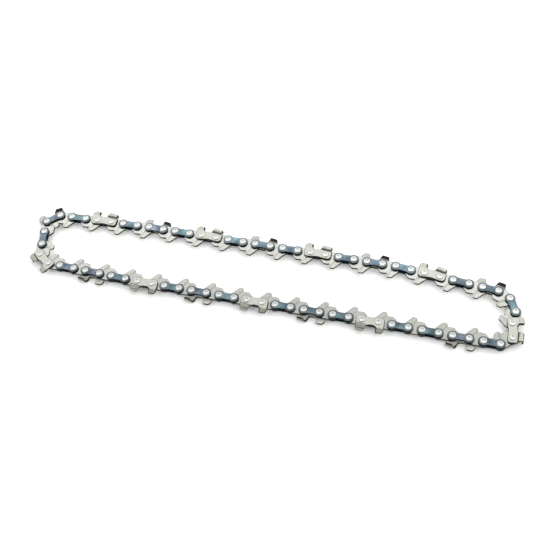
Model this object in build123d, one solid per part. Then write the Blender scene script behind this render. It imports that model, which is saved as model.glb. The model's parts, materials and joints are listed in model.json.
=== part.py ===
from build123d import *
import math
import os

# Chainsaw chain loop of 37 drive links, lying flat on its side as it would on a bench.
# Millimetres; X runs along the strands, Y across the loop and Z up; rivet axes are vertical.
# The chain runs counter-clockwise seen from above, so a link leads with its lower-numbered rivet.

# Chain sizes
pitch = 9.525            # half the reach over three rivets
strap_pitch = 10.28      # rivet to rivet in tie straps and cutters
gauge = 1.27             # drive link thickness, which fits the guide bar's groove
side_thickness = 1.15    # tie straps and cutter side plates
side_play = 0.05         # running gap between a drive link and the plate beside it
pin_radius = 1.60        # rivet shank
pin_play = 0.08          # running gap round a shank in its drive link
head_radius = 1.95       # peened rivet head
head_height = 0.45
head_sides = 7           # facets round a rivet head
shank_sides = 12         # facets round a shank

# Loop layout, in links and degrees
end_links = 7            # strand links beside a turn, which lean by the bow angles
section_links = 6        # links in each of the three straight sections of a strand
far_bows = (1.5, -5.5)   # lean of the strand's first and last links
near_bows = (-0.5, -2.0)
right_turn = (28, 62, 95, 80, 138)  # clockwise from the strand, link by link round a turn
left_turn = (34, 76, 78)            # the turn's last two links close the loop
extra_strap_after = 21   # side-link pairs ahead of the extra strap pair that closes an odd count

# Tie strap outline
strap_lobe = 3.3         # radius of the round ends
strap_waist = 4.9        # width halfway between the rivets
lobe_wrap = 100          # degrees that a lobe keeps its radius, each way from the link's axis
lobe_corners = 5

# Drive link outline, inward being towards the guide bar
drive_lobe = 3.45        # radius of the round ends
drive_front = (-90, 15)  # degrees that the front end keeps its radius, from outward to inward
drive_rear = (165, 270)
drive_corners = 3
heel = (2.9, 3.2)        # inner corner of either end, past its rivet and inward
tang_depth = 8.8         # rivet line to the tip of the tang
tang_tip = 2.7           # length of the flat tip
tang_lag = 0.5           # how far the tip's front corner trails the middle of the link
tang_nose = (0.6, 0.9)   # rounding of that corner, forward and outward
hump_depth = 6.2         # front shoulder ahead of the tang
hump_front = 4.6
hump_rear = 1.3
hook_depth = 5.7         # bottom of the notch between shoulder and tang
hook_front = 0.6

# Cutter, outward being away from the guide bar
shoulder = 3.6           # rivet line to where the side plate bends out, at the cutting corner
flare = 0.9              # how far the cutting corner stands out from the side plate
flare_run = 0.8          # length of the bend, outward
crown = 7.6              # rivet line to the face of the top plate, at the cutting edge
crown_edge = 0.6         # bevel between the side plate and the top plate
top_thickness = 1.0
top_across = 3.5         # reach of the top plate over the chain, from the cutting corner
top_length = 7.1
top_angle = 30           # slant of the cutting edge
relief = 9               # fall of the top plate towards its heel
wall_relief = 6.5        # fall of the bend below it
cut_lag = 1.3            # how far the cutting corner trails the link's middle
cutter_front = 9.0       # front end of the side plate, from the link's middle
heel_reach = 9.0         # rear end of the side plate
heel_corner = 0.5        # drop of the rear end's outer corner
end_corner = 1.9         # cut of both ends' inner corners
cutter_edge = 3.2        # rivet line to the inner edge
cutter_waist = 2.5       # rivet line to the hollow of the inner edge
depth_gauge = 7.6        # rivet line to the tip of the depth gauge
depth_gauge_tip = (8.5, 5.8)
depth_gauge_front = (9.7, 5.6)
depth_gauge_rear = 4.9   # edge that faces the cutting corner
depth_gauge_corners = (4.6, 6.7)
gullet_floor = 3.1
gullet = (3.2, -0.3)     # front and rear corners of the gullet's floor

# Derived places
drive_pitch = 2 * pitch - strap_pitch
half_strap = strap_pitch / 2
half_drive = drive_pitch / 2
inner = gauge / 2 + side_play
outer = inner + side_thickness
slant = math.tan(math.radians(top_angle))
top_fall = math.tan(math.radians(relief))
wall_fall = math.tan(math.radians(wall_relief))
strand_links = 2 * end_links + 3 * section_links
half_loop = strand_links + len(right_turn)
link_count = 2 * half_loop


def link_length(link):
    """Rivet to rivet: even links are drive links and odd ones side-link pairs."""
    return strap_pitch if link % 2 else drive_pitch


def strand(bows, turn):
    """Directions of the links along a strand and round the turn after it, in degrees."""
    straight = [0] * (3 * section_links)
    return [bows[0]] * end_links + straight + [bows[1]] * end_links + [-angle for angle in turn]


def loop_shape():
    """Direction of each link and the rivet centres; the last two links close the loop as a triangle."""
    headings = strand(far_bows, right_turn) + [heading - 180 for heading in strand(near_bows, left_turn)]
    points = [(0.0, 0.0)]

    def lay(link, heading):
        x, y = points[-1]
        turn = math.radians(heading)
        points.append((x + link_length(link) * math.cos(turn), y + link_length(link) * math.sin(turn)))

    def heading_home():
        return math.degrees(math.atan2(-points[-1][1], -points[-1][0]))

    for link, heading in enumerate(headings):
        lay(link, heading)
    gap = math.hypot(*points[-1])
    lean = math.acos((drive_pitch ** 2 + gap ** 2 - strap_pitch ** 2) / (2 * drive_pitch * gap))
    headings.append(heading_home() + math.degrees(lean))
    lay(link_count - 2, headings[-1])
    headings.append(heading_home())
    return headings, points


def section_of(link):
    """Name of the rigid section that a link belongs to."""
    names = ("far_left", "far_middle", "far_right", "right_turn")
    names += ("near_right", "near_middle", "near_left", "left_turn")
    side = (link // half_loop) * 4
    step = link % half_loop - end_links
    if step < 0:
        return names[side - 1]
    return names[side + min(step // section_links, 3)]


def pair_kinds():
    """Straps and cutters taking turns along the loop, with one extra strap pair."""
    kinds = []
    while len(kinds) < half_loop:
        kinds += ["strap", "cutter"]
        if len(kinds) == extra_strap_after + 1:
            kinds.insert(extra_strap_after, "strap")
    return kinds


def lobe(x, radius, first, last, corners):
    """Corners of a round end about a rivet at x, from one angle to another."""
    step = (last - first) / (corners - 1)
    angles = [math.radians(first + step * corner) for corner in range(corners)]
    return [(x + radius * math.cos(angle), radius * math.sin(angle)) for angle in angles]


def rivet_heads():
    """Peened heads on the outer face of an upper plate."""
    head = extrude(RegularPolygon(head_radius, head_sides), head_height)
    return [Pos(x, 0, outer) * head for x in (half_strap, -half_strap)]


def strap():
    """Dog-bone tie strap on the upper side, with its two rivet heads."""
    front = lobe(half_strap, strap_lobe, -lobe_wrap, lobe_wrap, lobe_corners)
    rear = lobe(-half_strap, strap_lobe, 180 - lobe_wrap, 180 + lobe_wrap, lobe_corners)
    outline = front + [(0, strap_waist / 2)] + rear + [(0, -strap_waist / 2)]
    plate = Pos(0, 0, inner) * extrude(Polygon(*outline, align=None), side_thickness)
    return plate + rivet_heads()


def top_section(rear_end):
    """Corners across a cutter's bent wall and top plate, at its slanted cutting edge or square rear end."""
    corner = outer + flare
    bend = shoulder + flare_run
    section = [
        (shoulder, inner),
        (shoulder, outer),
        (bend, corner),
        (crown - crown_edge, corner),
        (crown, corner - crown_edge),
        (crown, corner - top_across),
        (crown - top_thickness, corner - top_across),
        (crown - top_thickness, inner + flare),
        (bend, inner + flare),
    ]
    points = []
    for reach, z in section:
        lag = top_length if rear_end else (corner - z) * slant
        fall = wall_fall if reach <= bend else top_fall
        points.append((-cut_lag - lag, fall * lag - reach, z))
    return points


def top_plate():
    """Bent wall of a cutter with its top plate folded over the chain, falling to the rear."""
    front = top_section(False)
    rear = top_section(True)
    sides = [(front[i - 1], front[i], rear[i], rear[i - 1]) for i in range(len(front))]
    return Solid(Shell([Face(Wire.make_polygon(outline)) for outline in [front, rear] + sides]))


def cutter():
    """Cutter on the upper side: side plate, depth gauge, gullet and folded top plate."""
    rear_shoulder = shoulder - wall_fall * top_length
    cut_foot = flare * slant
    outline = [
        (cutter_front, cutter_edge - end_corner),
        (cutter_front - end_corner, cutter_edge),
        (0, cutter_waist),
        (end_corner - heel_reach, cutter_edge),
        (-heel_reach, cutter_edge - end_corner),
        (-heel_reach, heel_corner - rear_shoulder),
        (-cut_lag - top_length, -rear_shoulder),
        (-cut_lag - cut_foot, wall_fall * cut_foot - shoulder),
        (gullet[1], -gullet_floor),
        (gullet[0], -gullet_floor),
        (depth_gauge_rear, -depth_gauge_corners[0]),
        (depth_gauge_rear, -depth_gauge_corners[1]),
        (depth_gauge_tip[1], -depth_gauge),
        (depth_gauge_tip[0], -depth_gauge),
        (depth_gauge_front[0], -depth_gauge_front[1]),
    ]
    plate = Pos(0, 0, inner) * extrude(Polygon(*outline, align=None), side_thickness)
    return plate + top_plate() + rivet_heads()


def drive_link(bored=None):
    """Drive link with its tang pointing inward, bored at one end where it turns on a rivet."""
    front = lobe(half_drive, drive_lobe, *drive_front, drive_corners)
    rear = lobe(-half_drive, drive_lobe, *drive_rear, drive_corners)
    outline = front + [
        (half_drive + heel[0], heel[1]),
        (hump_front, hump_depth),
        (hump_rear, hump_depth),
        (hook_front, hook_depth),
        (tang_nose[0] - tang_lag, tang_depth - tang_nose[1]),
        (-tang_lag, tang_depth),
        (-tang_lag - tang_tip, tang_depth),
        (-half_drive - heel[0], heel[1]),
    ] + rear
    link = Pos(0, 0, -gauge / 2) * extrude(Polygon(*outline, align=None), gauge)
    if bored is not None:
        link -= Pos(bored, 0, 0) * Cylinder(pin_radius + pin_play, 2 * gauge)
    return link


def lower(plate, pinned=None):
    """The same plate on the lower side, with a rivet shank where a drive link turns."""
    plate = mirror(plate, about=Plane.XY)
    if pinned is not None:
        shank = extrude(RegularPolygon(pin_radius, shank_sides), 2 * inner)
        plate += Pos(pinned, 0, -inner) * shank
    return plate


def hinged_end(link):
    """Where a link meets the next section, in its own frame, or None inside a section."""
    if section_of(link) != section_of((link - 1) % link_count):
        return link_length(link) / 2
    if section_of(link) != section_of((link + 1) % link_count):
        return -link_length(link) / 2
    return None


def place(link, headings, rivets):
    """Middle of a link, turned so that its own X leads and its own Y points inward."""
    x1, y1 = rivets[link]
    x2, y2 = rivets[(link + 1) % link_count]
    return Location(((x1 + x2) / 2, (y1 + y2) / 2, 0), (0, 0, headings[link] + 180))


def build():
    """All solids by node name, at rest, as laid out from the first rivet."""
    headings, rivets = loop_shape()
    kinds = pair_kinds()
    upper_strap = strap()
    upper_cutter = cutter()
    nodes = {}
    cutters = 0
    for link in range(link_count):
        section = section_of(link)
        end = hinged_end(link)
        where = place(link, headings, rivets)
        if link % 2 == 0:
            nodes.setdefault(f"drive_links_{section}", []).append(where * drive_link(end))
            continue
        above = upper_strap
        below = upper_strap
        above_node = f"upper_straps_{section}"
        below_node = f"lower_straps_{section}"
        if kinds[link // 2] == "cutter":
            cutters += 1
            if cutters % 2 == 1:
                above = upper_cutter
                above_node = f"upper_cutter_{cutters:02d}"
            else:
                below = upper_cutter
                below_node = f"lower_cutter_{cutters:02d}"
        nodes.setdefault(above_node, []).append(where * above)
        nodes.setdefault(below_node, []).append(where * lower(below, end))
    return nodes


def write(nodes):
    """Stand the loop on Z 0 with the middle of its box over the origin, and save each node."""
    os.makedirs("parts", exist_ok=True)
    box = Compound([solid for solids in nodes.values() for solid in solids]).bounding_box()
    shift = Pos(-box.center().X, -box.center().Y, -box.min.Z)
    for name, solids in nodes.items():
        placed = [shift * solid for solid in solids]
        export_step(Compound(placed) if len(placed) > 1 else placed[0], f"parts/{name}.step")
    for link, (x, y) in enumerate(loop_shape()[1]):
        before = section_of((link - 1) % link_count)
        if before != section_of(link):
            turn = (shift * Pos(x, y, 0)).position
            print(f"{before} to {section_of(link)}: hinge at {turn.X:.4f}, {turn.Y:.4f}")
    print(f"box {box.size.X:.3f} x {box.size.Y:.3f} x {box.size.Z:.3f}, mid-plane at {-box.min.Z:.4f}")


write(build())
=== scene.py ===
import json
import math
import random

import bmesh
import bpy
from mathutils import Matrix, Quaternion, Vector

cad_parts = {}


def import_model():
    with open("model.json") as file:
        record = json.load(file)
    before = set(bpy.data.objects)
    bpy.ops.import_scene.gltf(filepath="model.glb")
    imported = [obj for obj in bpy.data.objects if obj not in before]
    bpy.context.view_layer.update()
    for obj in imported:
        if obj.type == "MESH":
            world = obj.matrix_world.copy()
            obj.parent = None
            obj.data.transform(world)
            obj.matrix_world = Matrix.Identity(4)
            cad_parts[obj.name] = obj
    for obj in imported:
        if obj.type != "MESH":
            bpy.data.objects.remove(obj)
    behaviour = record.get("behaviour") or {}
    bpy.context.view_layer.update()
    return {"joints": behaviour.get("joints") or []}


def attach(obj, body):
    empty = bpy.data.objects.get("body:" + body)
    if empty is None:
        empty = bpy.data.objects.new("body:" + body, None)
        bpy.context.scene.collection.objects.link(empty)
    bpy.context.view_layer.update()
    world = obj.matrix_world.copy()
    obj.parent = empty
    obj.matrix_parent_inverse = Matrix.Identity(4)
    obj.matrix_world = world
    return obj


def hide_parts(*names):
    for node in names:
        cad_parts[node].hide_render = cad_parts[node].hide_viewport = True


# Dressed chainsaw chain loop: 37 drive links, 56 tie straps, 18 cutters and 74 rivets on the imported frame.
# A link's own frame has X leading, Y inward to the guide bar and Z up from the chain's mid-plane.

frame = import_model()
mm = 0.001

# Chain sizes
pitch = 9.525 * mm           # half the reach over three rivets
strap_pitch = 10.28 * mm     # rivet to rivet in tie straps and cutters
gauge = 1.27 * mm            # drive link thickness
side_thickness = 1.15 * mm   # tie straps and cutters
side_play = 0.05 * mm        # gap between a drive link and the plate beside it
pin_radius = 1.60 * mm
pin_play = 0.08 * mm         # gap round a shank in its drive link
head_radius = 2.12 * mm
head_height = 0.45 * mm
head_rim = 0.76              # share of the radius where the head's dish ends
head_dish = 0.20             # depth of the dish, as a share of the head's height
head_edge = (                # shares of radius and height from the dish down to the plate
    (0.86, 0.95),
    (0.93, 0.82),
    (0.98, 0.60),
    (1.00, 0.30),
    (0.985, 0.0),
)

# Loop layout, in links and degrees
end_links = 7                # strand links beside a turn, which lean by the bow angles
section_links = 6            # links in each straight section
strand_sections = 3          # straight sections in each strand
far_bows = (1.5, -5.5)
near_bows = (-0.5, -2.0)
right_turn = (28, 62, 95, 80, 138)
left_turn = (34, 76, 78)
extra_strap_after = 21       # side-link pairs ahead of the extra strap pair

# Tie strap
strap_lobe = 3.3 * mm        # radius of the round ends
strap_waist = 4.9 * mm       # width halfway between the rivets
waist_fillet = 3.0 * mm      # radius between a lobe and the waist

# Drive link
drive_lobe = 3.45 * mm
heel = (2.9 * mm, 3.2 * mm)  # inner corner of either end, past its rivet and inward
tang_depth = 8.8 * mm        # rivet line to the tip of the tang
tang_tip = 2.7 * mm          # length of the flat tip
tang_lag = 0.5 * mm          # how far the tip's front corner trails the middle of the link
hump_depth = 6.2 * mm        # front shoulder ahead of the tang
hump_front = 4.6 * mm
hump_rear = 1.3 * mm
hook = (0.6 * mm, 5.7 * mm)  # bottom of the notch between shoulder and tang
drive_end_round = 3.3 * mm
heel_round = 1.2 * mm
hump_front_round = 0.9 * mm
hump_rear_round = 0.35 * mm
hook_round = 0.25 * mm
tang_front_round = 0.8 * mm
tang_rear_round = 0.9 * mm

# Oil groove of the drive link
groove_width = 1.6 * mm
groove_depth = 0.3 * mm
groove_start = (0.0, 7.2 * mm)
groove_end = (-2.1 * mm, 3.7 * mm)
groove_slope = 0.30 * mm     # run of the groove's sides over its depth
# Painted shade on the groove's floor: a share of the edges' dark
groove_floor_shade = 0.18           # how much of the edges' dark its floor has

# Cutter
shoulder = 3.6 * mm          # rivet line to where the side plate bends out, at the cutting corner
flare = 0.9 * mm             # how far the wall stands out from the side plate
flare_angle = 50
flare_bend = 0.5 * mm        # length of sheet in each of the wall's two bends
wall_lean = 9                # lean of the wall over the chain, in degrees
crown = 7.6 * mm             # rivet line to the face of the top plate, at the cutting edge
crown_bend = 0.8 * mm        # radius between the wall and the top plate
top_across = 3.5 * mm
top_length = 7.1 * mm
top_angle = 30               # slant of the cutting edge
relief = 9                   # fall of the top plate towards its heel
wall_relief = 6.5            # fall of the bend below it
cut_lag = 1.3 * mm           # how far the cutting corner trails the link's middle
cut_lean = 0.7 * mm          # how far the wall's front edge leans back
cutter_front = 9.0 * mm      # front end of the side plate, from the link's middle
heel_reach = 9.0 * mm        # rear end of the side plate
heel_corner = 0.5 * mm       # drop of the rear end's outer corner
cutter_edge = 3.2 * mm       # rivet line to the inner edge
cutter_waist = 2.5 * mm      # rivet line to the hollow of the inner edge
cutter_hollow = 0.8 * mm     # half length of the hollow's floor
depth_gauge = 7.6 * mm       # rivet line to the tip of the depth gauge
depth_gauge_tip = 8.5 * mm
depth_gauge_front = (9.7 * mm, 5.6 * mm)
depth_gauge_rear = 4.9 * mm  # edge that faces the cutting corner
depth_gauge_root = 4.6 * mm
gauge_crease = 4.2 * mm      # rivet line to where the depth gauge bends in
gauge_bend = 0.8 * mm
gauge_angle = 11
gullet_floor = 3.1 * mm
gullet = (3.2 * mm, -0.3 * mm)
wall_pieces = 4              # stretches of the folded sheet below the bend of the top plate
file_fade = 1.5 * mm         # length over which the file's slant fades out
file_start = 0.3 * mm        # where it begins, past the depth gauge's rear edge
cutter_end_round = 2.2 * mm
cutter_lobe_round = 3.0 * mm
tooth_round = 0.4 * mm
cut_corner_round = 0.8 * mm
gullet_rear_round = 1.0 * mm
gullet_front_round = 1.2 * mm
gauge_root_round = 0.8 * mm
gauge_rear_round = 0.9 * mm
gauge_tip_round = 1.2 * mm

# Edge rounding and smoothness
strap_edge = 0.25 * mm
link_edge = 0.22 * mm
tooth_edge = 0.30 * mm
edge_steps = 3
bend_steps = 6
gauge_steps = 4
arc_step = math.radians(9)
rivet_steps = 36
dish_steps = 6
sharpest_offset = 0.3        # keeps an offset short at sharp corners
weld_distance = 1e-7

# Finish colours
strap_hues = (
    (0.05, (0.350, 0.550, 0.600)),
    (0.50, (0.390, 0.550, 0.630)),
    (0.95, (0.420, 0.460, 0.570)),
)
strap_patch = (0.120, 0.165, 0.205)
strap_lobe_grey = (0.270, 0.305, 0.310)
strap_deep = (0.115, 0.150, 0.190)
# Painted shade: the dark ring round the rivet heads on a strap
strap_head_shade = (0.030, 0.036, 0.042)
strap_black = (0.006, 0.008, 0.010)
drive_dull = (0.700, 0.710, 0.640)
drive_bright = (0.820, 0.830, 0.780)
drive_black = (0.035, 0.034, 0.028)
cutter_dull = (0.750, 0.760, 0.670)
cutter_bright = (0.840, 0.855, 0.780)
streak_dark = (0.270, 0.270, 0.220)
streak_bright = (0.770, 0.780, 0.700)
# Painted shade in the cutter's bends: the flare bend and the crest at the crown bend
fold_painted_shade = (0.060, 0.057, 0.036)
# Painted shade: the top plate's outer face made darker
top_painted_shade = (0.150, 0.145, 0.110)
# Painted shade: the dark ring round the rivet heads on a cutter
cutter_head_shade = (0.120, 0.114, 0.090)
# Painted light: the cutter's inner face made paler
inner_face_painted_light = (0.860, 0.870, 0.800)
# Painted shade: the inner face of the top plate made near black
inner_top_painted_shade = (0.030, 0.027, 0.018)
cutter_black = (0.035, 0.033, 0.022)
rivet_dull = (0.880, 0.890, 0.860)
rivet_bright = (0.960, 0.965, 0.950)

# Finish measures, in millimetres of a link's own frame; pairs are where a fade starts and ends
noise_span = (0.3, 0.7)      # the values that a noise has over most of a face
seed = 37                    # of the draws that give each piece its tone
tone_shift = 40.0            # how far apart two pieces' patterns lie
depth_turns = 7.3            # makes a strap's depth of blue independent of its hue
depth_share = 0.5
# Painted shade round the rivet heads: its width and how dark it goes
shade_ring_width = 0.5             # dark ring round a rivet head
shade_ring_share = 0.6
ring_turns = 22.0            # spun rings on a head, in radians to the millimetre
lobe_from = (2.0, 5.0)       # where a strap turns grey, from its middle
tooth_front = (1.0, 2.0)     # along the cutter, where the tooth's marks end
ground_from = (-3.6, -4.6)   # across the cutter, where grinding lines start
# Painted shade along the flare bend, where it starts and ends
bend_shade_from = (3.0, 3.6)       # across the sheet, from the rivet line at the cutting corner
bend_shade_to = (4.7, 5.1)
# Painted shade: a thin dark line along the crown bend, where it starts and ends
crest_shade_from = (6.6, 6.9)
crest_shade_to = (7.2, 7.5)
# Painted shade on the top plate, where it starts
top_shade_from = (7.3, 7.8)
# Painted shade inside the top plate, where it starts
inner_top_shade_from = (6.8, 7.4)
ground_share = 0.7
bend_shade_share = 0.9
crest_shade_share = 0.7
top_shade_share = 0.7
inner_top_shade_share = 0.95
face_fade = 0.3              # depth below either face of a cutter at which its finish changes over
within_rough = 0.25          # added roughness of a cutter's inner face

# Camera of the photograph
view_aim = (162.06 * mm, -20.50 * mm)  # from the first rivet
view_azimuth = 154.85
view_elevation = 55.35
view_roll = 11.79
view_distance = 717.3 * mm
sensor_width = 36
focal_share = 2.0            # focal length as a share of the sensor's width

# Studio
floor_half = 6.0             # half the floor's length and width, in metres
floor_grey = 0.75            # what lights the chain from below
floor_white = 1.7            # what the camera and reflections see
world_strength = 0.36

# Derived places
drive_pitch = 2 * pitch - strap_pitch
half_strap = strap_pitch / 2
half_drive = drive_pitch / 2
inner = gauge / 2 + side_play
outer = inner + side_thickness
slant = math.tan(math.radians(top_angle))
top_fall = math.tan(math.radians(relief))
wall_fall = math.tan(math.radians(wall_relief))
strand_links = 2 * end_links + strand_sections * section_links
half_loop = strand_links + len(right_turn)
link_count = 2 * half_loop
draws = random.Random(seed)


# Loop layout

def link_length(link):
    """Rivet to rivet: even links are drive links and odd ones side-link pairs."""
    return strap_pitch if link % 2 else drive_pitch


def strand(bows, turn):
    """Directions of the links along a strand and round the turn after it, in degrees."""
    straight = [0] * (strand_sections * section_links)
    return [bows[0]] * end_links + straight + [bows[1]] * end_links + [-angle for angle in turn]


def loop_shape():
    """Direction of each link and the rivet centres; the last two links close the loop as a triangle."""
    headings = strand(far_bows, right_turn) + [heading - 180 for heading in strand(near_bows, left_turn)]
    points = [Vector((0, 0, 0))]

    def lay(link, heading):
        turn = math.radians(heading)
        points.append(points[-1] + link_length(link) * Vector((math.cos(turn), math.sin(turn), 0)))

    def heading_home():
        return math.degrees(math.atan2(-points[-1].y, -points[-1].x))

    for link, heading in enumerate(headings):
        lay(link, heading)
    gap = points[-1].length
    lean = math.acos((drive_pitch ** 2 + gap ** 2 - strap_pitch ** 2) / (2 * drive_pitch * gap))
    headings.append(heading_home() + math.degrees(lean))
    lay(link_count - 2, headings[-1])
    headings.append(heading_home())
    hinge = next(joint for joint in frame["joints"] if joint["name"] == "near_right_flex")
    shift = Vector(hinge["pos_m"]) - points[half_loop + end_links]
    return headings, [point + shift for point in points]


def section_of(link):
    """Name of the body that a link rides on."""
    names = ("far_left", "far_middle", "far_right", "right_turn")
    names += ("near_right", "near_middle", "near_left", "left_turn")
    side = link // half_loop * (strand_sections + 1)
    step = link % half_loop - end_links
    if step < 0:
        return names[side - 1]
    return names[side + min(step // section_links, strand_sections)]


def pair_kinds():
    """Straps and cutters taking turns along the loop, with one extra strap pair."""
    kinds = []
    while len(kinds) < half_loop:
        kinds += ["strap", "cutter"]
        if len(kinds) == extra_strap_after + 1:
            kinds.insert(extra_strap_after, "strap")
    return kinds


headings, rivets = loop_shape()


def place(link):
    """Matrix that puts a link's own frame at its place in the loop."""
    middle = (rivets[link] + rivets[(link + 1) % link_count]) / 2
    return Matrix.Translation(middle) @ Matrix.Rotation(math.radians(headings[link] + 180), 4, "Z")


# Outlines

def arc(centre, radius, first, last):
    """Points on an arc from one angle to another, in radians."""
    steps = max(2, math.ceil(abs(last - first) / arc_step))
    angles = [first + (last - first) * step / steps for step in range(steps + 1)]
    return [Vector((centre[0] + radius * math.cos(a), centre[1] + radius * math.sin(a))) for a in angles]


def rounded(corners):
    """Closed outline through (x, y, radius) corners, each rounded by an arc."""
    outline = []
    for index, (x, y, radius) in enumerate(corners):
        corner = Vector((x, y))
        back = (Vector(corners[index - 1][:2]) - corner).normalized()
        ahead = (Vector(corners[(index + 1) % len(corners)][:2]) - corner).normalized()
        half = back.angle(ahead) / 2
        centre = corner + (back + ahead).normalized() * (radius / math.sin(half))
        start = corner + back * (radius / math.tan(half)) - centre
        sweep = math.pi - 2 * half
        if back.cross(ahead) > 0:
            sweep = -sweep
        first = math.atan2(start.y, start.x)
        outline += arc(centre, radius, first, first + sweep)
    return outline


def hollow_side(half_waist):
    """Lobe, hollow waist and lobe along the inward side of a side link, from front to rear."""
    reach = half_waist + waist_fillet
    back = math.sqrt((strap_lobe + waist_fillet) ** 2 - reach ** 2)
    wrap = math.atan2(reach, -back)
    side = arc((half_strap, 0), strap_lobe, 0, wrap)
    side += arc((half_strap - back, reach), waist_fillet, wrap - math.pi, -math.pi / 2)[1:]
    return side + [Vector((-point.x, point.y)) for point in reversed(side)]


def circle(x, radius):
    """Rivet hole at x, run clockwise so that the plate lies on its left."""
    return arc((x, 0), radius, math.pi, -math.pi)[:-1]


def offset(outline, distance):
    """The outline moved to its left, into the plate, by a small distance."""
    moved = []
    for index, point in enumerate(outline):
        before = (point - outline[index - 1]).normalized()
        after = (outline[(index + 1) % len(outline)] - point).normalized()
        along = (before + after).normalized()
        left = Vector((-along.y, along.x))
        moved.append(point + left * (distance / max(sharpest_offset, along.dot(after))))
    return moved


# Plates

def add_layers(mesh):
    """Layers that the finishes read: a place in the link's own millimetres, a wall mark and a tone."""
    place_layer = mesh.verts.layers.float_vector.new("link_place")
    wall_layer = mesh.faces.layers.float.new("wall")
    mesh.verts.layers.float.new("tone")
    return place_layer, wall_layer


def ring_band(mesh, low, high, wall_layer):
    """Quads between two rings of vertices."""
    for index in range(len(low)):
        face = mesh.faces.new((low[index - 1], low[index], high[index], high[index - 1]))
        face[wall_layer] = 1
        face.smooth = True


def plate(outlines, low, high, edge):
    """Plate between two heights with rounded edges; the first outline is its rim and the rest are holes."""
    mesh = bmesh.new()
    place_layer, wall_layer = add_layers(mesh)
    profile = []
    for step in range(edge_steps + 1):
        turn = math.pi / 2 * step / edge_steps
        profile.append((edge * (1 - math.sin(turn)), low + edge * (1 - math.cos(turn))))
    profile += [(inset, low + high - z) for inset, z in reversed(profile)]
    caps = ([], [])
    for outline in outlines:
        rings = []
        for inset, z in profile:
            rings.append([mesh.verts.new((p.x, p.y, z)) for p in offset(outline, inset)])
        for below, above in zip(rings, rings[1:]):
            ring_band(mesh, below, above, wall_layer)
        for cap, ring in zip(caps, (rings[0], rings[-1])):
            cap += [mesh.edges.get((ring[i - 1], ring[i])) for i in range(len(ring))]
    for cap, way in zip(caps, (-1, 1)):
        bmesh.ops.triangle_fill(mesh, edges=cap, use_beauty=True, normal=(0, 0, way))
    for vertex in mesh.verts:
        vertex[place_layer] = vertex.co / mm
    bmesh.ops.recalc_face_normals(mesh, faces=mesh.faces)
    return mesh


def saved(mesh, name):
    """The finished template as mesh data."""
    data = bpy.data.meshes.new(name)
    mesh.to_mesh(data)
    mesh.free()
    return data


def strap():
    """Upper tie strap: round lobes joined by a hollow waist."""
    side = hollow_side(strap_waist / 2)
    outline = side + [-point for point in side[1:-1]]
    holes = [circle(x, pin_radius) for x in (half_strap, -half_strap)]
    return saved(plate([outline] + holes, inner, outer, strap_edge), "strap")


def groove_tool():
    """Round-ended bar that cuts the oil groove from the tang towards the rear rivet, in one face."""
    start = Vector(groove_start)
    end = Vector(groove_end)
    along = (end - start).normalized()
    turn = math.atan2(along.y, along.x)
    radius = groove_width / 2
    outline = arc(start, radius, turn + math.pi / 2, turn + 3 * math.pi / 2)
    outline += arc(end, radius, turn - math.pi / 2, turn + math.pi / 2)
    mesh = bmesh.new()
    floor = gauge / 2 - groove_depth
    low = [mesh.verts.new((p.x, p.y, floor)) for p in offset(outline, groove_slope)]
    high = [mesh.verts.new((p.x, p.y, floor + 2 * groove_depth)) for p in offset(outline, -groove_slope)]
    for index in range(len(low)):
        mesh.faces.new((low[index - 1], low[index], high[index], high[index - 1]))
    mesh.faces.new(list(reversed(low)))
    mesh.faces.new(high)
    return mesh


def cut(data, tools):
    """The template with each tool's shape taken out of it."""
    body = bpy.data.objects.new("body", data)
    bpy.context.scene.collection.objects.link(body)
    helpers = [body]
    for tool in tools:
        helper = bpy.data.objects.new("tool", saved(tool, "tool"))
        bpy.context.scene.collection.objects.link(helper)
        helpers.append(helper)
        modifier = body.modifiers.new("cut", "BOOLEAN")
        modifier.operation = "DIFFERENCE"
        modifier.object = helper
        modifier.solver = "EXACT"
    bpy.context.view_layer.update()
    graph = bpy.context.evaluated_depsgraph_get()
    result = bpy.data.meshes.new_from_object(body.evaluated_get(graph))
    for helper in helpers:
        bpy.data.objects.remove(helper)
    return result


def drive_link():
    """Drive link with rounded ends, front hump, hook and tang, and an oil groove in both faces."""
    end = half_drive + drive_lobe
    corners = [
        (-end, -drive_lobe, drive_end_round),
        (end, -drive_lobe, drive_end_round),
        (half_drive + heel[0], heel[1], heel_round),
        (hump_front, hump_depth, hump_front_round),
        (hump_rear, hump_depth, hump_rear_round),
        (hook[0], hook[1], hook_round),
        (-tang_lag, tang_depth, tang_front_round),
        (-tang_lag - tang_tip, tang_depth, tang_rear_round),
        (-half_drive - heel[0], heel[1], heel_round),
    ]
    holes = [circle(x, pin_radius + pin_play) for x in (half_drive, -half_drive)]
    body = plate([rounded(corners)] + holes, -gauge / 2, gauge / 2, link_edge)
    upper = groove_tool()
    lower = groove_tool()
    bmesh.ops.transform(lower, matrix=Matrix.Scale(-1, 4, (0, 0, 1)), verts=lower.verts)
    bmesh.ops.reverse_faces(lower, faces=lower.faces)
    mesh = bmesh.new()
    mesh.from_mesh(cut(saved(body, "drive_link"), [upper, lower]))
    place_layer = mesh.verts.layers.float_vector["link_place"]
    wall_layer = mesh.faces.layers.float["wall"]
    for vertex in mesh.verts:
        vertex[place_layer] = vertex.co / mm
    for face in mesh.faces:
        # Painted shade: the groove's floor gets part of the edges' dark
        sunk = abs(face.calc_center_median().z) < gauge / 2 - groove_depth / 4
        if sunk and face[wall_layer] < 1:
            face[wall_layer] = groove_floor_shade
    return saved(mesh, "drive_link")


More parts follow.
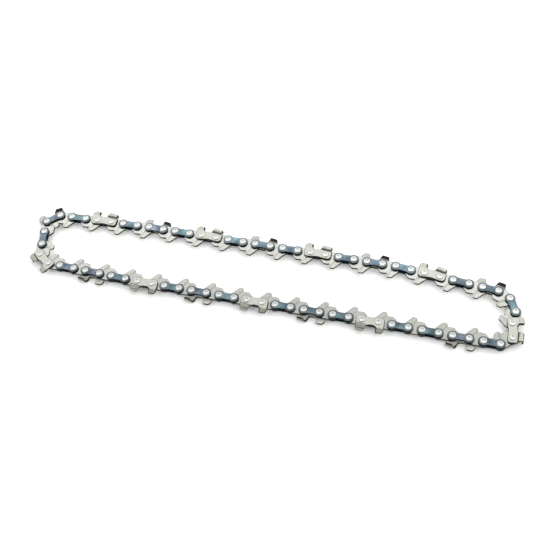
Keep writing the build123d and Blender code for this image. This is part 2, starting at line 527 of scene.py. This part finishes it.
def fold_pieces(drop):
    """Stretches of a cutter's sheet past its shoulder, as lengths and turns; the drop lowers its crown."""
    turn = math.radians(flare_angle)
    bend_radius = flare_bend / turn
    slope = (flare - 2 * bend_radius * (1 - math.cos(turn))) / math.sin(turn)
    run = 2 * bend_radius * math.sin(turn) + slope * math.cos(turn)
    level = crown - drop - side_thickness / 2 - crown_bend - shoulder - run
    over = top_across - side_thickness / 2 - crown_bend
    lean = math.radians(wall_lean)
    return [
        (flare_bend, turn),
        (slope, 0),
        (flare_bend, -turn - lean),
        (level, 0),
        (crown_bend * math.pi / 2, lean - math.pi / 2),
        (over, 0),
    ]


def bent(point, crease, pieces):
    """Where a point of the flat sheet goes when the sheet past a crease is bent in stretches."""
    reach = -point.y - crease
    if reach <= 0:
        return point
    middle = (inner + outer) / 2
    height = point.z - middle
    y = crease
    z = middle
    heading = 0
    for length, turn in pieces:
        used = min(reach, length)
        reach -= used
        if turn:
            radius = length / turn
            after = heading + turn * used / length
            y += radius * (math.sin(after) - math.sin(heading))
            z += radius * (math.cos(heading) - math.cos(after))
            heading = after
        else:
            y += used * math.cos(heading)
            z += used * math.sin(heading)
    y += reach * math.cos(heading)
    z += reach * math.sin(heading)
    return Vector((point.x, -y + height * math.sin(heading), z + height * math.cos(heading)))


def fold(point):
    """Bend the depth gauge in, or the wall out with its top plate over, the wall and top plate falling to
    the rear.
    """
    if point.x > gullet[0]:
        return bent(point, gauge_crease, [(gauge_bend, -math.radians(gauge_angle))])
    lag = max(0, -cut_lag - point.x)
    return bent(point, shoulder - wall_fall * lag, fold_pieces((top_fall - wall_fall) * lag))


def ramp_share(value, start, end):
    """0 at the start, 1 at the end and in between in proportion."""
    return min(1, max(0, (value - start) / (end - start)))


def file_slant(point):
    """Slant the tooth's front and the gullet's walls as a file leaves them."""
    if point.y > -gullet_floor / 2:
        return point
    rear = -cut_lag - top_length
    share = ramp_share(point.x, rear + file_fade, rear + 2 * file_fade)
    share *= ramp_share(point.x, depth_gauge_rear + file_fade, depth_gauge_rear + file_start)
    return point - Vector(((outer - point.z) * slant * share, 0, 0))


def split_sheet(mesh, at, normal):
    """New edges across the sheet where a plane meets it."""
    everything = mesh.verts[:] + mesh.edges[:] + mesh.faces[:]
    bmesh.ops.bisect_plane(mesh, geom=everything, dist=weld_distance, plane_co=at, plane_no=normal)


def cutter():
    """Upper cutter, cut flat with its gullet and depth gauge and then folded as sheet steel."""
    front_pieces = fold_pieces(0)
    rear_pieces = fold_pieces((top_fall - wall_fall) * top_length)
    front_sheet = shoulder + sum(length for length, turn in front_pieces)
    corner_sheet = shoulder + sum(length for length, turn in front_pieces[:wall_pieces])
    rear_shoulder = shoulder - wall_fall * top_length
    rear_sheet = rear_shoulder + sum(length for length, turn in rear_pieces)
    inner_lag = top_across * slant
    corners = [
        (cutter_front, cutter_edge, cutter_end_round),
        (half_strap, cutter_edge, cutter_lobe_round),
        (cutter_hollow, cutter_waist, cutter_lobe_round),
        (-cutter_hollow, cutter_waist, cutter_lobe_round),
        (-half_strap, cutter_edge, cutter_lobe_round),
        (-heel_reach, cutter_edge, cutter_end_round),
        (-heel_reach, heel_corner - rear_shoulder, tooth_round),
        (-cut_lag - top_length, -rear_shoulder - heel_corner, tooth_round),
        (-cut_lag - top_length, -rear_sheet, tooth_round),
        (-cut_lag - cut_lean - inner_lag, top_fall * inner_lag - front_sheet, tooth_round),
        (-cut_lag - cut_lean, -corner_sheet, tooth_round),
        (-cut_lag, -shoulder - flare, cut_corner_round),
        (gullet[1], -gullet_floor, gullet_rear_round),
        (gullet[0], -gullet_floor, gullet_front_round),
        (depth_gauge_rear, -depth_gauge_root, gauge_root_round),
        (depth_gauge_rear, -depth_gauge, gauge_rear_round),
        (depth_gauge_tip, -depth_gauge, gauge_tip_round),
        (depth_gauge_front[0], -depth_gauge_front[1], gauge_tip_round),
    ]
    holes = [circle(x, pin_radius) for x in (half_strap, -half_strap)]
    mesh = plate([rounded(corners)] + holes, inner, outer, tooth_edge)
    reach = shoulder
    for number, (length, turn) in enumerate(front_pieces):
        cuts = bend_steps if turn else 1
        fall = wall_fall if number < wall_pieces else top_fall
        for step in range(cuts):
            split_sheet(mesh, (-cut_lag, -reach - length * step / cuts, 0), (fall, 1, 0))
        reach += length
    for step in range(gauge_steps + 1):
        split_sheet(mesh, (0, -gauge_crease - gauge_bend * step / gauge_steps, 0), (0, 1, 0))
    for vertex in mesh.verts:
        vertex.co = fold(file_slant(vertex.co))
    return saved(mesh, "cutter")


def rivet():
    """Rivet with a straight shank and two dished, rounded heads, turned about its axis."""
    dish = [head_rim * step / dish_steps for step in range(dish_steps + 1)]
    rim = [(r, 1 - head_dish * (1 - (r / head_rim) ** 2)) for r in dish]
    rim += head_edge
    upper = [(head_radius * r, outer + head_height * h) for r, h in rim]
    upper.append((pin_radius, outer))
    profile = upper + [(r, -z) for r, z in reversed(upper)]
    mesh = bmesh.new()
    place_layer, wall_layer = add_layers(mesh)
    angles = [2 * math.pi * step / rivet_steps for step in range(rivet_steps)]
    rings = []
    for radius, z in profile[1:-1]:
        rings.append([mesh.verts.new((radius * math.cos(a), radius * math.sin(a), z)) for a in angles])
    for above, below in zip(rings, rings[1:]):
        ring_band(mesh, below, above, wall_layer)
    for ring, (radius, z) in ((rings[0], profile[0]), (rings[-1], profile[-1])):
        tip = mesh.verts.new((0, 0, z))
        for index in range(rivet_steps):
            mesh.faces.new((ring[index - 1], ring[index], tip)).smooth = True
    for vertex in mesh.verts:
        vertex[place_layer] = vertex.co / mm
    bmesh.ops.recalc_face_normals(mesh, faces=mesh.faces)
    return saved(mesh, "rivet")


# Finishes

class Finish:
    """A metal finish and short ways to add its nodes."""

    def __init__(self, name):
        self.material = bpy.data.materials.new(name)
        self.material.use_nodes = True
        self.nodes = self.material.node_tree.nodes
        self.links = self.material.node_tree.links
        self.shader = self.nodes["Principled BSDF"]
        self.shader.inputs["Metallic"].default_value = 1.0
        self.place = self.attribute("link_place", "Vector")
        self.wall = self.attribute("wall", "Fac")
        self.tone = self.attribute("tone", "Fac")

    def attribute(self, name, output):
        node = self.nodes.new("ShaderNodeAttribute")
        node.attribute_name = name
        return node.outputs[output]

    def feed(self, socket, value):
        """Link another node's output to a socket, or set the socket to a constant."""
        if isinstance(value, bpy.types.NodeSocket):
            self.links.new(value, socket)
        else:
            socket.default_value = value

    def stretched(self, scale):
        """The link's own place with its axes scaled, so that a pattern follows the rolling direction."""
        node = self.nodes.new("ShaderNodeVectorMath")
        node.operation = "MULTIPLY"
        self.feed(node.inputs[0], self.place)
        node.inputs[1].default_value = scale
        return node.outputs["Vector"]

    def noise(self, scale, detail, vector=None):
        """Noise over the link, shifted by the piece's tone so that no two pieces are alike."""
        node = self.nodes.new("ShaderNodeTexNoise")
        node.noise_dimensions = "4D"
        self.feed(node.inputs["Vector"], vector or self.place)
        self.feed(node.inputs["W"], self.math("MULTIPLY", self.tone, tone_shift))
        node.inputs["Scale"].default_value = scale
        node.inputs["Detail"].default_value = detail
        return node.outputs["Fac"]

    def math(self, operation, first, second=0.0):
        node = self.nodes.new("ShaderNodeMath")
        node.operation = operation
        self.feed(node.inputs[0], first)
        self.feed(node.inputs[1], second)
        return node.outputs["Value"]

    def times(self, first, *others):
        """The product of several masks or shares."""
        for other in others:
            first = self.math("MULTIPLY", first, other)
        return first

    def spread(self, value, span, onto):
        """A value's span brought onto another span, clamped."""
        node = self.nodes.new("ShaderNodeMapRange")
        self.feed(node.inputs["Value"], value)
        for name, bound in zip(("From Min", "From Max", "To Min", "To Max"), (*span, *onto)):
            node.inputs[name].default_value = bound
        return node.outputs["Result"]

    def fade_in(self, value, span):
        """0 before a span and 1 past it."""
        return self.spread(value, span, (0.0, 1.0))

    def fade_out(self, value, span):
        """1 before a span and 0 past it."""
        return self.spread(value, span, (1.0, 0.0))

    def ramp(self, value, *stops):
        """Colours along a value, each stop a position and a colour."""
        node = self.nodes.new("ShaderNodeValToRGB")
        elements = node.color_ramp.elements
        while len(elements) < len(stops):
            elements.new(1.0)
        for element, (position, colour) in zip(elements, stops):
            element.position = position
            element.color = (*colour, 1)
        self.feed(node.inputs["Fac"], value)
        return node.outputs["Color"]

    def mix(self, share, first, second):
        """The first colour, with a share of the second over it."""
        node = self.nodes.new("ShaderNodeMix")
        node.data_type = "RGBA"
        self.feed(node.inputs["Factor"], share)
        for socket, value in zip((node.inputs[6], node.inputs[7]), (first, second)):
            self.feed(socket, (*value, 1) if isinstance(value, tuple) else value)
        return node.outputs[2]

    def axis(self, name):
        """One coordinate of the link's own place, in millimetres."""
        node = self.nodes.new("ShaderNodeSeparateXYZ")
        self.feed(node.inputs[0], self.place)
        return node.outputs[name]

    def length(self, vector):
        node = self.nodes.new("ShaderNodeVectorMath")
        node.operation = "LENGTH"
        self.feed(node.inputs[0], vector)
        return node.outputs["Value"]

    def head_shade_ring(self):
        """Share of the painted shade, a dark ring close round the rivet heads."""
        spot = self.nodes.new("ShaderNodeCombineXYZ")
        from_rivet = self.math("SUBTRACT", self.math("ABSOLUTE", self.axis("X")), half_strap / mm)
        self.feed(spot.inputs["X"], from_rivet)
        self.feed(spot.inputs["Y"], self.axis("Y"))
        near = head_radius / mm
        ring = self.fade_out(self.length(spot.outputs[0]), (near, near + shade_ring_width))
        return self.times(ring, shade_ring_share)

    def bump(self, height, strength, distance):
        node = self.nodes.new("ShaderNodeBump")
        node.inputs["Strength"].default_value = strength
        node.inputs["Distance"].default_value = distance
        self.feed(node.inputs["Height"], height)
        self.links.new(node.outputs["Normal"], self.shader.inputs["Normal"])

    def colour(self, value):
        self.feed(self.shader.inputs["Base Color"], value)

    def roughness(self, value):
        self.feed(self.shader.inputs["Roughness"], value)


def blued_finish():
    """Heat-blued tie straps: slate blue that differs from strap to strap, greyer lobes, black edges and
    painted shade round the heads.
    """
    finish = Finish("blued_steel")
    patch = finish.noise(scale=0.18, detail=3.0)
    face = finish.ramp(finish.tone, *strap_hues)
    face = finish.mix(finish.spread(patch, span=(0.38, 0.62), onto=(0.0, 0.9)), face, strap_patch)
    along = finish.math("ABSOLUTE", finish.axis("X"))
    face = finish.mix(finish.spread(along, span=lobe_from, onto=(0.0, 0.6)), face, strap_lobe_grey)
    depth = finish.math("FRACT", finish.times(finish.tone, depth_turns))
    face = finish.mix(finish.times(depth, depth_share), face, strap_deep)
    # Painted shade, a dark ring round the heads
    face = finish.mix(finish.head_shade_ring(), face, strap_head_shade)
    finish.colour(finish.mix(finish.fade_in(finish.wall, (0.5, 0.9)), face, strap_black))
    grain = finish.noise(scale=9.0, detail=4.0, vector=finish.stretched((1.0, 3.0, 1.0)))
    smear = finish.noise(scale=1.1, detail=3.0)
    finish.roughness(finish.spread(smear, span=noise_span, onto=(0.16, 0.24)))
    finish.bump(grain, strength=0.25, distance=0.02 * mm)
    return finish.material


def drive_finish():
    """Pale drive links: satin steel with fine rolling lines and faint cloudy patches."""
    finish = Finish("drive_steel")
    cloud = finish.noise(scale=0.35, detail=3.0)
    face = finish.ramp(cloud, (noise_span[0], drive_dull), (noise_span[1], drive_bright))
    finish.colour(finish.mix(finish.wall, face, drive_black))
    lines = finish.noise(scale=1.6, detail=4.0, vector=finish.stretched((1.0, 14.0, 1.0)))
    finish.roughness(finish.spread(lines, span=noise_span, onto=(0.17, 0.27)))
    finish.bump(lines, strength=0.2, distance=0.02 * mm)
    return finish.material


def cutter_finish():
    """Hard-chromed cutters: warm silver with grinding lines on the bent wall and top plate, painted shade in
    the bends, on the top plate, inside it and round the heads, and painted light on the inner face.
    """
    finish = Finish("cutter_chrome")
    cloud = finish.noise(scale=0.4, detail=3.0)
    lines = finish.noise(scale=1.2, detail=5.0, vector=finish.stretched((0.35, 12.0, 1.0)))
    face = finish.ramp(cloud, (noise_span[0], cutter_dull), (noise_span[1], cutter_bright))
    outside = finish.fade_in(finish.axis("Z"), (inner / mm + face_fade, outer / mm - face_fade))
    within = finish.fade_out(outside, (0.0, 1.0))
    tooth = finish.fade_out(finish.axis("X"), tooth_front)
    behind = finish.math("MAXIMUM", finish.math("SUBTRACT", -cut_lag / mm, finish.axis("X")))
    past = finish.math("SUBTRACT", finish.times(behind, wall_fall), finish.axis("Y"))
    ground = finish.times(finish.fade_in(finish.axis("Y"), ground_from), outside, ground_share)
    streaks = finish.ramp(lines, (0.38, streak_dark), (0.66, streak_bright))
    face = finish.mix(ground, face, streaks)
    # Painted shade: a dark band along the flare bend of the wall
    bend = finish.times(finish.fade_in(past, bend_shade_from), finish.fade_out(past, bend_shade_to), tooth)
    face = finish.mix(finish.times(bend, outside, bend_shade_share), face, fold_painted_shade)
    # Painted shade: a thin dark line along the crown bend
    crest_shade = finish.times(finish.fade_in(past, crest_shade_from), finish.fade_out(past, crest_shade_to), tooth)
    face = finish.mix(finish.times(crest_shade, outside, crest_shade_share), face, fold_painted_shade)
    # Painted shade: the outer face of the top plate darkened
    top = finish.times(finish.fade_in(past, top_shade_from), tooth)
    face = finish.mix(finish.times(top, outside, top_shade_share), face, top_painted_shade)
    # Painted shade, a dark ring round the heads
    face = finish.mix(finish.head_shade_ring(), face, cutter_head_shade)
    # Painted light: the inner face made paler
    face = finish.mix(within, face, inner_face_painted_light)
    # Painted shade: the inner face of the top plate darkened
    inner_top_shade = finish.times(finish.fade_in(past, inner_top_shade_from), within, tooth, inner_top_shade_share)
    face = finish.mix(inner_top_shade, face, inner_top_painted_shade)
    finish.feed(finish.shader.inputs["Metallic"], finish.spread(within, span=(0.0, 1.0), onto=(1.0, 0.4)))
    finish.colour(finish.mix(finish.wall, face, cutter_black))
    polish = finish.spread(lines, span=noise_span, onto=(0.30, 0.44))
    finish.roughness(finish.math("ADD", polish, finish.times(within, within_rough)))
    finish.bump(lines, strength=0.3, distance=0.03 * mm)
    return finish.material


def rivet_finish():
    """Bright rivets with faint rings left by spinning the heads over."""
    finish = Finish("rivet_steel")
    from_axis = finish.length(finish.stretched((1.0, 1.0, 0.0)))
    rings = finish.math("SINE", finish.times(from_axis, ring_turns))
    cloud = finish.noise(scale=0.9, detail=3.0)
    finish.colour(finish.ramp(cloud, (noise_span[0], rivet_dull), (noise_span[1], rivet_bright)))
    finish.roughness(finish.spread(cloud, span=noise_span, onto=(0.24, 0.32)))
    finish.bump(finish.fade_in(rings, (-1.0, 1.0)), strength=0.01, distance=0.02 * mm)
    return finish.material


# Assembly

def assemble(name, members, material):
    """One piece from copies of the templates; each member is a template, its matrix and its tone."""
    joined = bmesh.new()
    add_layers(joined)
    for data, matrix, tone in members:
        first_vertex = len(joined.verts)
        first_face = len(joined.faces)
        joined.from_mesh(data)
        joined.verts.ensure_lookup_table()
        joined.faces.ensure_lookup_table()
        tone_layer = joined.verts.layers.float["tone"]
        for vertex in joined.verts[first_vertex:]:
            vertex[tone_layer] = tone
            vertex.co = matrix @ vertex.co
        if matrix.determinant() < 0:
            bmesh.ops.reverse_faces(joined, faces=joined.faces[first_face:])
    data = saved(joined, name)
    data.materials.append(material)
    piece = bpy.data.objects.new(name, data)
    bpy.context.scene.collection.objects.link(piece)
    return piece


def collect():
    """Every member of the loop, grouped by the piece it goes into."""
    groups = {}
    kinds = pair_kinds()
    under = Matrix.Scale(-1, 4, (0, 0, 1))
    cutters = 0

    def add(piece, node, section, kind, template, matrix):
        new = {"node": node, "section": section, "kind": kind, "members": []}
        groups.setdefault(piece, new)["members"].append((template, matrix, draws.random()))

    for link in range(link_count):
        section = section_of(link)
        where = place(link)
        if link % 2 == 0:
            add(f"tang_links_{section}", f"drive_links_{section}", section, "drive", drive_mesh, where)
            continue
        sides = {"upper": (strap_mesh, "strap"), "lower": (strap_mesh, "strap")}
        if kinds[link // 2] == "cutter":
            cutters += 1
            sides["upper" if cutters % 2 else "lower"] = (cutter_mesh, "cutter")
        for side, (template, kind) in sides.items():
            matrix = where if side == "upper" else where @ under
            piece, node = f"{side}_tie_straps_{section}", f"{side}_straps_{section}"
            if kind == "cutter":
                piece, node = f"{side}_tooth_{cutters:02d}", f"{side}_cutter_{cutters:02d}"
            add(piece, node, section, kind, template, matrix)
        for end in (half_strap, -half_strap):
            matrix = where @ Matrix.Translation((end, 0, 0))
            add(f"rivets_{section}", None, section, "rivet", rivet_mesh, matrix)
    return groups


strap_mesh = strap()
drive_mesh = drive_link()
cutter_mesh = cutter()
rivet_mesh = rivet()
finishes = {
    "strap": ("blued_steel", blued_finish()),
    "drive": ("drive_steel", drive_finish()),
    "cutter": ("cutter_chrome", cutter_finish()),
    "rivet": ("drive_steel", rivet_finish()),
}
for piece_name, group in collect().items():
    slot, material = finishes[group["kind"]]
    piece = assemble(piece_name, group["members"], material)
    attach(piece, group["section"])
    if group["node"]:
        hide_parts(group["node"])


# Floor, light and camera

def floor():
    """White floor that the camera and reflections see bright, and that keeps the shadow."""
    data = bpy.data.meshes.new("floor")
    corners = [(floor_half * x, floor_half * y, 0) for x, y in ((-1, -1), (1, -1), (1, 1), (-1, 1))]
    data.from_pydata(corners, [], [(0, 1, 2, 3)])
    plane = bpy.data.objects.new("floor", data)
    bpy.context.scene.collection.objects.link(plane)
    material = bpy.data.materials.new("floor")
    material.use_nodes = True
    nodes = material.node_tree.nodes
    links = material.node_tree.links
    nodes.remove(nodes["Principled BSDF"])
    path = nodes.new("ShaderNodeLightPath")
    seen = path.outputs["Is Camera Ray"]
    for name in ("Is Glossy Ray", "Is Transmission Ray"):
        either = nodes.new("ShaderNodeMath")
        either.operation = "MAXIMUM"
        links.new(seen, either.inputs[0])
        links.new(path.outputs[name], either.inputs[1])
        seen = either.outputs[0]
    lit = nodes.new("ShaderNodeBsdfDiffuse")
    lit.inputs["Color"].default_value = (floor_grey, floor_grey, floor_grey, 1)
    bright = nodes.new("ShaderNodeBsdfDiffuse")
    bright.inputs["Color"].default_value = (floor_white, floor_white, floor_white, 1)
    choice = nodes.new("ShaderNodeMixShader")
    links.new(seen, choice.inputs["Fac"])
    links.new(lit.outputs[0], choice.inputs[1])
    links.new(bright.outputs[0], choice.inputs[2])
    links.new(choice.outputs[0], nodes["Material Output"].inputs["Surface"])
    data.materials.append(material)


def direction(azimuth, elevation):
    """Unit vector from the loop, with the azimuth from +Y towards +X and both angles in degrees."""
    a = math.radians(azimuth)
    e = math.radians(elevation)
    return Vector((math.sin(a) * math.cos(e), math.cos(a) * math.cos(e), math.sin(e)))


def softbox(name, azimuth, elevation, distance, width, height, radiance):
    """Area lamp facing the loop from a direction, giving the named radiance."""
    lamp = bpy.data.lights.new(name, "AREA")
    lamp.shape = "RECTANGLE"
    lamp.size = width
    lamp.size_y = height
    lamp.energy = radiance * math.pi * width * height
    holder = bpy.data.objects.new(name, lamp)
    way = direction(azimuth, elevation)
    holder.location = way * distance
    holder.rotation_mode = "QUATERNION"
    holder.rotation_quaternion = (-way).to_track_quat("-Z", "Y")
    bpy.context.scene.collection.objects.link(holder)


def camera():
    """Camera at the photograph's angle and framing."""
    data = bpy.data.cameras.new("camera")
    data.sensor_width = sensor_width
    data.lens = focal_share * sensor_width
    holder = bpy.data.objects.new("camera", data)
    back = direction(view_azimuth, view_elevation)
    aim = rivets[0] + Vector((*view_aim, outer + head_height))
    holder.location = aim + back * view_distance
    holder.rotation_mode = "QUATERNION"
    roll = Quaternion((0, 0, 1), -math.radians(view_roll))
    holder.rotation_quaternion = (-back).to_track_quat("-Z", "Y") @ roll
    data.clip_start = 0.01
    bpy.context.scene.collection.objects.link(holder)
    bpy.context.scene.camera = holder


def world():
    """Even white light from all round."""
    data = bpy.data.worlds.new("world")
    data.use_nodes = True
    background = data.node_tree.nodes["Background"]
    background.inputs["Color"].default_value = (1, 1, 1, 1)
    background.inputs["Strength"].default_value = world_strength
    bpy.context.scene.world = data


floor()
softbox("far_softbox", azimuth=-10, elevation=35.2, distance=1.8, width=4.2, height=1.42, radiance=0.88)
softbox("end_softbox", azimuth=5, elevation=53, distance=1.8, width=0.62, height=0.34, radiance=0.5)
softbox("right_softbox", azimuth=74, elevation=45, distance=2.0, width=2.0, height=2.0, radiance=0.95)
softbox("left_softbox", azimuth=-112, elevation=34, distance=2.0, width=2.2, height=1.8, radiance=0.8)
camera()
world()
bpy.context.scene.view_settings.view_transform = "Standard"
